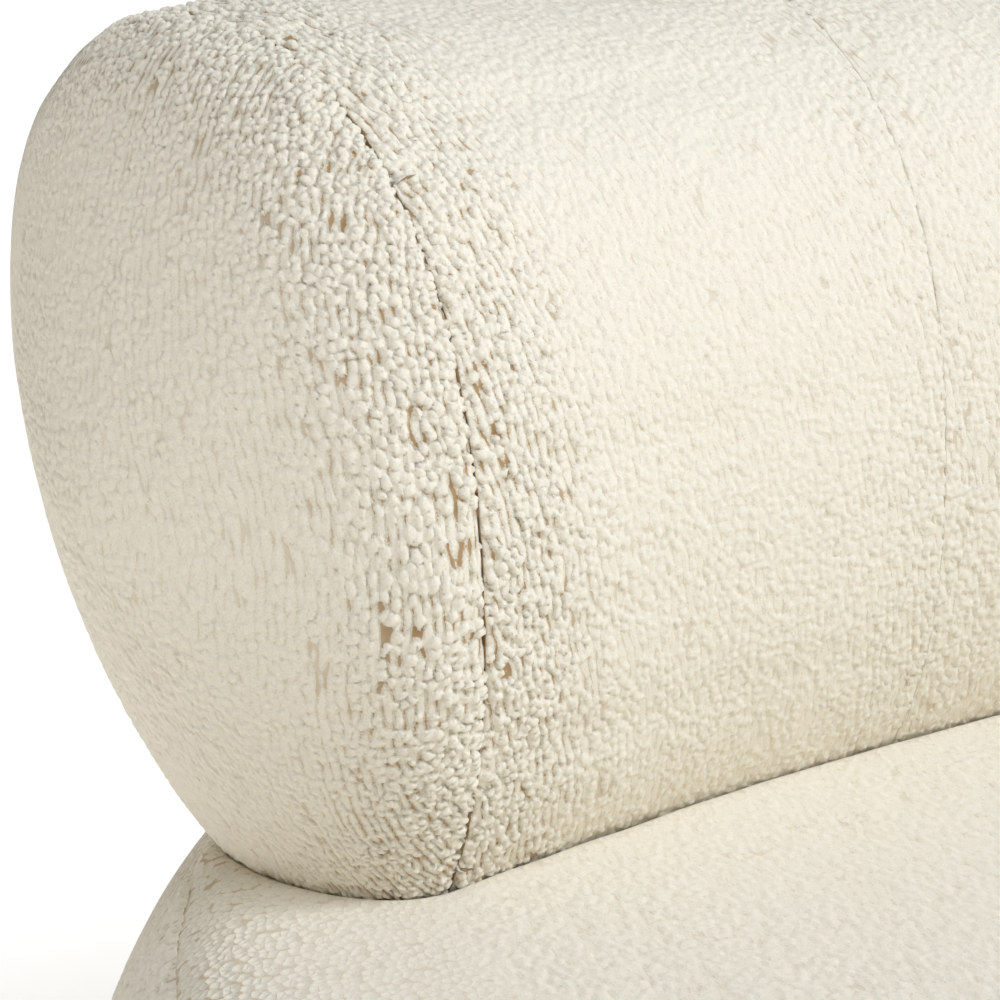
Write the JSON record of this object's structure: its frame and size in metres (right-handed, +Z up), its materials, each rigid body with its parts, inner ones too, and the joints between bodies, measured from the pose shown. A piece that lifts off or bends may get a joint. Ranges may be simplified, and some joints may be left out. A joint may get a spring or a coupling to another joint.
{
  "type": "sofa with wooden legs",
  "caption": "Armless curved sofa with a kidney-shaped seat, an egg-section boucle back that follows the curve, and short turned wooden legs.",
  "frame": {"origin": "centre of the footprint, on the floor under the glides", "axes": "+X along the sofa to the right of someone facing it, -Y to the front, +Z up"},
  "size_m": [2.4028, 1.182, 0.8036],
  "materials": {
    "beech": "planed",
    "black_cloth": "non-woven",
    "boucle": "looped cream boucle",
    "clip_nylon": "moulded",
    "felt": "needled felt",
    "foam": "cut polyurethane foam",
    "glide_nylon": "moulded",
    "jute_webbing": "woven jute",
    "laminated_beech": "bent laminate",
    "plywood": "sanded",
    "spring_steel": "oil-hardened wire",
    "wadding": "white polyester wadding",
    "walnut_legs": "satin stained",
    "zinc_steel": "zinc plated"
  },
  "bodies": {
    "root": {"back_base_board": "plywood", "back_bottom_cloth": "black_cloth", "back_cover_1": "boucle", "back_cover_2": "boucle", "back_cover_3": "boucle", "back_cover_4": "boucle", "back_cover_5": "boucle", "back_end_cap_left": "boucle", "back_end_cap_right": "boucle", "back_end_foam_left": "foam", "back_end_foam_right": "foam", "back_foam": "foam", "back_front_lath": "laminated_beech", "back_rear_lath": "laminated_beech", "back_rib_1": "plywood", "back_rib_2": "plywood", "back_rib_3": "plywood", "back_rib_4": "plywood", "back_rib_5": "plywood", "back_rib_6": "plywood", "back_top_rail": "laminated_beech", "back_wadding": "wadding", "back_webbing": "jute_webbing", "dust_cover": "black_cloth", "leg_block_front_centre": "beech", "leg_block_front_left": "beech", "leg_block_front_right": "beech", "leg_block_rear_centre": "beech", "leg_block_rear_left": "beech", "leg_block_rear_right": "beech", "leg_bolts": "zinc_steel", "leg_front_centre": "walnut_legs", "leg_front_left": "walnut_legs", "leg_front_right": "walnut_legs", "leg_glides": "glide_nylon", "leg_inserts": "zinc_steel", "leg_rear_centre": "walnut_legs", "leg_rear_left": "walnut_legs", "leg_rear_right": "walnut_legs", "seat_cross_rail_1": "beech", "seat_cross_rail_2": "beech", "seat_cross_rail_3": "beech", "seat_cross_rail_4": "beech", "seat_end_rail_left": "laminated_beech", "seat_end_rail_right": "laminated_beech", "seat_foam": "foam", "seat_front_rail": "laminated_beech", "seat_rail_splices": "plywood", "seat_rear_rail": "laminated_beech", "seat_side_band": "boucle", "seat_springs": "spring_steel", "seat_top_cover": "boucle", "seat_wadding": "wadding", "side_foam": "foam", "spring_clips": "clip_nylon", "spring_pad": "felt", "stile_bolts": "zinc_steel", "stile_nuts": "zinc_steel"}
  },
  "joints": []
}
